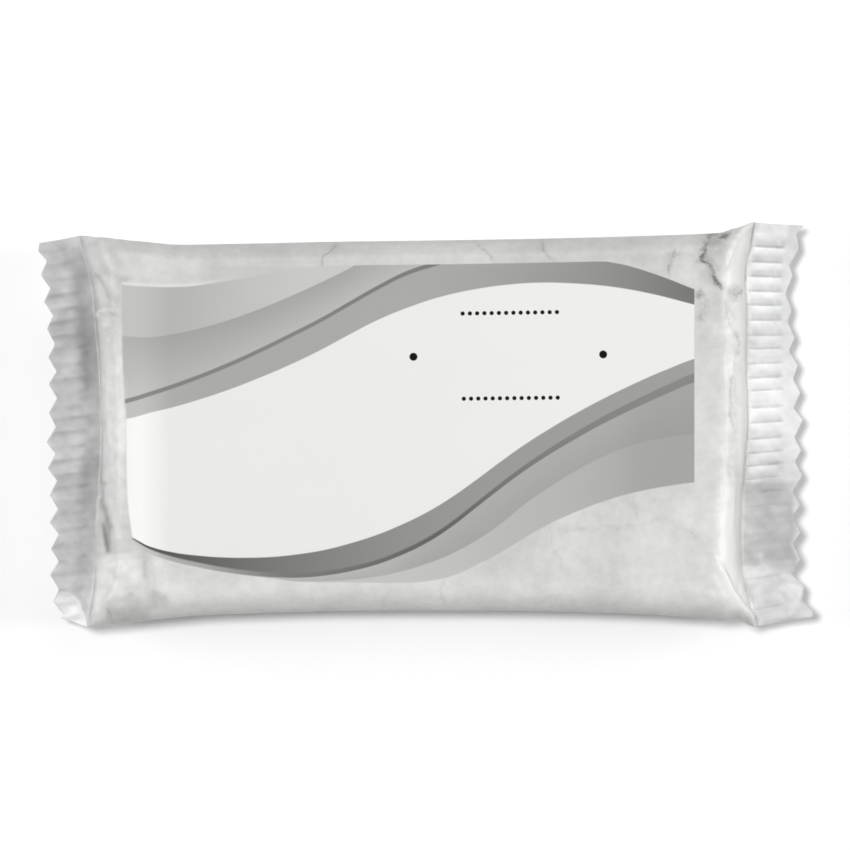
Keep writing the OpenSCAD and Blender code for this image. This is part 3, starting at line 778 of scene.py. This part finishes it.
class Sums:
    """Writes sums as shader nodes."""

    def __init__(self, tree):
        self.tree = tree

    def node(self, kind, **settings):
        made = self.tree.nodes.new(kind)
        for name, value in settings.items():
            setattr(made, name, value)
        return made

    def put(self, socket, value):
        if isinstance(value, (int, float)):
            socket.default_value = value
        else:
            self.tree.links.new(value, socket)

    def do(self, operation, *values):
        made = self.node("ShaderNodeMath", operation=operation)
        for socket, value in zip(made.inputs, values):
            self.put(socket, value)
        return made.outputs[0]

    def add(self, a, b):
        return self.do("ADD", a, b)

    def take(self, a, b):
        return self.do("SUBTRACT", a, b)

    def times(self, a, b):
        return self.do("MULTIPLY", a, b)

    def invert(self, a):
        return self.do("SUBTRACT", 1.0, a)

    def step(self, value, low, high):
        """0 below low, 1 above high, and an even slope between."""
        made = self.node("ShaderNodeMapRange")
        self.put(made.inputs["Value"], value)
        made.inputs["From Min"].default_value = low
        made.inputs["From Max"].default_value = high
        return made.outputs["Result"]

    def fall(self, value, low, high):
        """1 below low, 0 above high, and an even slope between."""
        return self.invert(self.step(value, low, high))

    def mix(self, a, b, share):
        made = self.node("ShaderNodeMix", data_type="FLOAT")
        self.put(made.inputs["Factor"], share)
        self.put(made.inputs["A"], a)
        self.put(made.inputs["B"], b)
        return made.outputs["Result"]

    def split(self, vector):
        """The three values of a vector or a colour."""
        parts = self.node("ShaderNodeSeparateXYZ")
        self.put(parts.inputs[0], vector)
        return parts.outputs

    def attribute(self, name, output="Fac"):
        """What the mesh holds for each point under a name."""
        return self.node("ShaderNodeAttribute", attribute_name=name).outputs[output]

    def curve(self, value, points, linear_grey=False):
        """A curve through (place, value) points."""
        points = sorted((a, linear(b) if linear_grey else b) for a, b in points)
        at = [p[0] for p in points]
        out = [p[1] for p in points]
        low, high = min(out), max(out)
        span = (high - low) or 1.0
        share = self.step(value, at[0], at[-1])
        made = self.node("ShaderNodeFloatCurve")
        line = made.mapping.curves[0]
        while len(line.points) > 2:
            line.points.remove(line.points[0])
        places = [((a - at[0]) / (at[-1] - at[0]), (b - low) / span) for a, b in points]
        line.points[0].location = places[0]
        line.points[1].location = places[-1]
        for place in places[1:-1]:
            line.points.new(*place)
        made.mapping.update()
        self.put(made.inputs["Value"], share)
        return self.add(self.times(made.outputs["Value"], span), low)

    def noise(self, place, scale, detail, roughness):
        """Even noise, as three values that don't follow one another."""
        made = self.node("ShaderNodeTexNoise", noise_dimensions="3D")
        self.put(made.inputs["Vector"], place)
        made.inputs["Scale"].default_value = scale
        made.inputs["Detail"].default_value = detail
        made.inputs["Roughness"].default_value = roughness
        return self.split(made.outputs["Color"])

    def disc(self, x, y, centre_x, centre_y, radius, soft):
        """1 inside a circle and 0 outside, with a soft edge."""
        across = self.take(x, centre_x)
        up = self.take(y, centre_y)
        away = self.do("SQRT", self.add(self.times(across, across), self.times(up, up)))
        return self.fall(away, radius - soft, radius + soft)


def marble(sums, place, x, y):
    """Grey of the marble print: soft clouds, thin veins and the few veins at known places."""
    broad = sums.noise(place, 0.11, 4.0, 0.6)
    small = sums.noise(place, 0.8, 3.0, 0.62)
    clouds = sums.take(broad[0], 0.5)
    fine = sums.take(small[2], 0.5)
    grey = sums.add(linear(MARBLE_GREY), sums.add(sums.times(clouds, 0.34), sums.times(fine, 0.2)))
    tiny = sums.noise(place, 2.4, 3.0, 0.65)
    shake = sums.add(sums.times(sums.take(small[0], 0.5), 1.25), sums.times(sums.take(tiny[0], 0.5), 0.6))
    dark = None
    for points, width, darkness, along_y in VEINS:
        run, side = (y, x) if along_y else (x, y)
        pairs = [(b, a) for a, b in points] if along_y else points
        pairs = sorted(pairs)
        away = sums.do("ABSOLUTE", sums.add(sums.take(side, sums.curve(run, pairs)), shake))
        line = sums.fall(away, width * 0.3, width * 1.5)
        halo = sums.fall(away, width, width * 5.0)
        line = sums.add(sums.times(line, 0.75), sums.times(halo, 0.25))
        first, last = pairs[0][0], pairs[-1][0]
        ends = sums.times(sums.step(run, first - 0.2, first + 0.8), sums.fall(run, last - 0.5, last + 0.2))
        vein = sums.times(sums.times(line, ends), darkness)
        dark = vein if dark is None else sums.do("MAXIMUM", dark, vein)
    for centre_x, centre_y, radius, darkness in BLOTCHES:
        spot = sums.disc(sums.add(x, shake), sums.add(y, shake), centre_x, centre_y, radius, radius * 0.9)
        dark = sums.do("MAXIMUM", dark, sums.times(spot, darkness))
    patchy = sums.step(sums.add(sums.times(small[1], 0.6), sums.times(tiny[1], 0.4)), 0.38, 0.58)
    dark = sums.times(dark, sums.add(0.25, sums.times(patchy, 0.75)))
    thin = sums.do("ABSOLUTE", sums.take(broad[1], 0.5))
    thin = sums.times(sums.fall(thin, 0.0, 0.012), sums.step(broad[2], 0.52, 0.62))
    dark = sums.do("MAXIMUM", dark, sums.times(thin, 0.03))
    return sums.times(grey, sums.invert(dark)), clouds


def panel(sums, x, y, below):
    """Grey of the printed panel and where it lies. below is the grey that shows round it."""
    def past(distance, blur=EDGE_SOFTNESS):
        return sums.step(distance, -blur, blur)

    def over(edge, blur=EDGE_SOFTNESS):
        return past(sums.take(y, sums.curve(x, edge)), blur)

    def grey_at(points):
        return sums.curve(x, points, True)

    def across(low_edge, high, at_low, at_high):
        """Goes evenly from one value at a field's lower edge to another at its upper edge."""
        low = sums.curve(x, low_edge)
        share = sums.do("DIVIDE", sums.take(y, low), sums.do("MAXIMUM", sums.take(high, low), 0.3))
        return sums.mix(at_low, at_high, sums.step(share, 0.0, 1.0))

    left = past(sums.take(x, sums.curve(y, PANEL_LEFT)), 0.12)
    right = sums.invert(past(sums.take(x, PANEL_RIGHT)))
    inside = sums.times(sums.times(left, right), sums.invert(over(PANEL_TOP)))

    # From the lowest edge upwards, each field is laid over the one before
    grey = sums.mix(below, grey_at(LIGHTEST_BAND), over(LOWEST_EDGE, 0.09))
    line_edge = sums.take(sums.curve(x, LOWER_LINE), sums.curve(x, LOWER_LINE_WIDTH))
    under = sums.times(grey_at(UNDER_BAND), across(LIGHTEST_TOP, line_edge, 0.95, 1.05))
    grey = sums.mix(grey, under, sums.times(over(LIGHTEST_TOP), over(LOWEST_EDGE, 0.09)))
    grey = sums.mix(grey, grey_at(LOW_LINE_GREY), past(sums.take(y, line_edge)))
    grey = sums.mix(grey, grey_at(LOW_BAND), over(LOWER_LINE, 0.1))
    grey = sums.mix(grey, grey_at(FIELD), over(FIELD_BOTTOM))
    grey = sums.mix(grey, grey_at(INNER_BAND), over(FIELD_TOP))
    line_low = sums.take(sums.curve(x, UPPER_LINE), sums.curve(x, UPPER_LINE_WIDTH))
    grey = sums.mix(grey, grey_at(LINE_GREY), past(sums.take(y, line_low)))
    middle = sums.times(grey_at(MIDDLE_BAND), across(UPPER_LINE, sums.curve(x, MIDDLE_BAND_TOP), 1.14, 0.88))
    grey = sums.mix(grey, middle, over(UPPER_LINE))
    grey = sums.mix(grey, grey_at(LIGHT_BAND), over(MIDDLE_BAND_TOP))
    fade = sums.step(x, -27.5, -17.0)
    above = sums.mix(below, grey_at(LIGHT_BAND), sums.times(fade, 0.75))
    # A painted highlight along the top edge of the light band, strongest at its left end
    bright = sums.times(sums.fall(x, -27.0, -22.0), 0.82)
    rise = sums.take(y, sums.curve(x, LIGHT_BAND_TOP))
    rim = sums.times(sums.step(rise, -0.25, 0.0), sums.fall(rise, 0.05, 0.5))
    above = sums.mix(above, RIM_HIGHLIGHT_GREY, sums.times(rim, bright))
    grey = sums.mix(grey, above, over(LIGHT_BAND_TOP, 0.12))
    corner = sums.times(over(DARK_CORNER_TOP), sums.step(x, 10.0, 12.0))
    grey = sums.mix(grey, below, corner)
    # Painted sheen where the film bulges a little at the panel's left end: the grey is made lighter there, as
    # if it caught more light
    printed = sums.times(over(LOWER_LINE), sums.invert(over(LIGHT_BAND_TOP)))
    sheen = sums.times(sums.times(sums.fall(x, -32.6, -29.4), printed), 0.15)
    grey = sums.do("MINIMUM", sums.times(grey, sums.add(1.0, sheen)), LIGHTEST_PANEL)

    dots = None
    for x0, y0, x1, y1 in DOT_ROWS:
        pitch = (x1 - x0) / (DOTS_IN_ROW - 1)
        count = sums.do("DIVIDE", sums.take(x, x0), pitch)
        nearest = sums.do("ROUND", count)
        nearest = sums.do("MINIMUM", sums.do("MAXIMUM", nearest, 0.0), DOTS_IN_ROW - 1.0)
        row_y = sums.add(y0, sums.times(nearest, (y1 - y0) / (DOTS_IN_ROW - 1)))
        dot_x = sums.add(x0, sums.times(nearest, pitch))
        dot = sums.disc(x, y, dot_x, row_y, DOT_RADIUS, DOT_SOFTNESS)
        dots = dot if dots is None else sums.do("MAXIMUM", dots, dot)
    for centre_x, centre_y in BULLETS:
        dots = sums.do("MAXIMUM", dots, sums.disc(x, y, centre_x, centre_y, BULLET_RADIUS, DOT_SOFTNESS))
    grey = sums.mix(grey, DOT_SHADE, dots)
    return grey, inside


def film_material():
    material = bpy.data.materials.new("printed_film")
    material.use_nodes = True
    sums = Sums(material.node_tree)
    shader = material.node_tree.nodes["Principled BSDF"]
    place = sums.attribute("film_mm", "Vector")
    x, y, z = sums.split(place)
    stone, clouds = marble(sums, place, x, sums.attribute("film_reach"))
    # The stone's grey is multiplied by the tone held on the mesh: the print's clouds, and painted light and
    # shade
    stone = sums.do("MINIMUM", sums.times(stone, sums.attribute("film_print_and_painted_light")), LIGHTEST_STONE)
    print_grey, inside = panel(sums, x, y, stone)
    inside = sums.times(inside, sums.step(z, 10.0, 10.5))
    grey = sums.mix(stone, print_grey, inside)
    cool = sums.times(sums.step(sums.do("ABSOLUTE", x), 36.8, 39.0), COOL)
    drift = sums.times(clouds, DRIFT)
    colour = sums.node("ShaderNodeCombineColor")
    sums.put(colour.inputs[0], sums.times(grey, sums.add(1.0, drift)))
    sums.put(colour.inputs[1], grey)
    sums.put(colour.inputs[2], sums.times(grey, sums.add(sums.take(1.0 - WARM, drift), cool)))
    sums.put(shader.inputs["Base Color"], colour.outputs[0])
    shader.inputs["Roughness"].default_value = FILM_ROUGHNESS
    shader.inputs["Specular IOR Level"].default_value = FILM_SHINE
    return material


# The table: half its size in metres, its shade as light bounces and as it is seen, and its own glow
TABLE_HALF = 1.5
TABLE_BOUNCE = 0.6
TABLE_SEEN = 0.93
TABLE_GLOW = 0.13


def add_floor():
    """A table that reads as white, also in reflections, and throws a softer light back on the pack."""
    mesh = bpy.data.meshes.new("table")
    corners = [(x * TABLE_HALF, y * TABLE_HALF, 0) for x, y in ((-1, -1), (1, -1), (1, 1), (-1, 1))]
    mesh.from_pydata(corners, [], [(0, 1, 2, 3)])
    floor = new_object("table", mesh)
    material = bpy.data.materials.new("white_table")
    material.use_nodes = True
    sums = Sums(material.node_tree)
    shader = material.node_tree.nodes["Principled BSDF"]
    shader.inputs["Roughness"].default_value = 0.9
    shader.inputs["Specular IOR Level"].default_value = 0.1
    path = sums.node("ShaderNodeLightPath").outputs
    seen = sums.do("MAXIMUM", path["Is Camera Ray"], path["Is Glossy Ray"])
    colour = sums.node("ShaderNodeMix", data_type="RGBA")
    colour.inputs["A"].default_value = (TABLE_BOUNCE, TABLE_BOUNCE, TABLE_BOUNCE, 1)
    colour.inputs["B"].default_value = (TABLE_SEEN, TABLE_SEEN, TABLE_SEEN, 1)
    sums.put(colour.inputs["Factor"], seen)
    sums.put(shader.inputs["Base Color"], colour.outputs["Result"])
    shader.inputs["Emission Color"].default_value = (1, 1, 1, 1)
    sums.put(shader.inputs["Emission Strength"], sums.times(seen, TABLE_GLOW))
    mesh.materials.append(material)


# Lamps: name, place, width, and the share of the light on a flat, upward face
LAMPS = [("key", (-0.2, 0.12, 2.0), 0.23, 0.58), ("upper", (0.1, 1.1, 0.9), 0.6, 0.07),
         ("left", (-1.3, 0.15, 0.8), 0.8, 0.12), ("right", (1.3, 0.1, 0.8), 0.8, 0.17)]
ROOM_LIGHT = 0.09
# The lamps aim at this point inside the pack
TARGET = (0, 0, 0.008)
# The camera: its height in metres, and the photo's width and scale, which give the width of the picture
CAMERA_HEIGHT = 1.6
PHOTO_PIXELS = 850
PIXELS_A_MM = 8.66
SENSOR = 36
# The scale holds at this height, which lies between the toothed edges and the top
SCALE_HEIGHT = 0.01


def add_light(name, place, size, level):
    light = bpy.data.lights.new(name, "AREA")
    light.shape = "DISK"
    light.size = size
    ray = Vector(TARGET) - Vector(place)
    light.energy = level * math.pi ** 2 * ray.length ** 3 / -ray.z
    lamp = new_object(name, light)
    lamp.location = place
    lamp.rotation_euler = ray.to_track_quat("-Z", "Y").to_euler()
    # The highest lamp shines straight down and would veil the print with its own reflection
    lamp.visible_glossy = name != "key"


def add_world(strength):
    world = bpy.data.worlds.new("room")
    world.use_nodes = True
    background = world.node_tree.nodes["Background"]
    background.inputs["Color"].default_value = (1, 1, 1, 1)
    background.inputs["Strength"].default_value = strength
    bpy.context.scene.world = world


def add_camera():
    frame_width = PHOTO_PIXELS / PIXELS_A_MM * MM
    camera = bpy.data.cameras.new("camera")
    camera.sensor_width = SENSOR
    camera.lens = SENSOR * (CAMERA_HEIGHT - SCALE_HEIGHT) / frame_width
    camera.clip_end = 10
    holder = new_object("camera", camera)
    holder.location = (0, 0, CAMERA_HEIGHT)
    bpy.context.scene.camera = holder


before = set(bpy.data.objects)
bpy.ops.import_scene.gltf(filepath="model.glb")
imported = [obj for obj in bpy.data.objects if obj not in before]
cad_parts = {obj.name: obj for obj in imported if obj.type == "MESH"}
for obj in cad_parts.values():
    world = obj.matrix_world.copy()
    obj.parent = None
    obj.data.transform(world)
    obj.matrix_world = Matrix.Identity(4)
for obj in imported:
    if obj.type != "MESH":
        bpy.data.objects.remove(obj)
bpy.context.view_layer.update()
add_camera()
low_corner, high_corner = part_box("wrapped_bar")
wrapper, base_points = build_film(low_corner, high_corner)
film_object = make_film_object(wrapper, wrinkle(wrapper, base_points), base_points)
film_object.data.materials.append(film_material())
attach(film_object, "root")
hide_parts("wrapped_bar")

add_floor()
add_world(ROOM_LIGHT)
for lamp_name, lamp_place, lamp_size, level in LAMPS:
    add_light(lamp_name, lamp_place, lamp_size, level)
bpy.context.scene.view_settings.view_transform = "Standard"
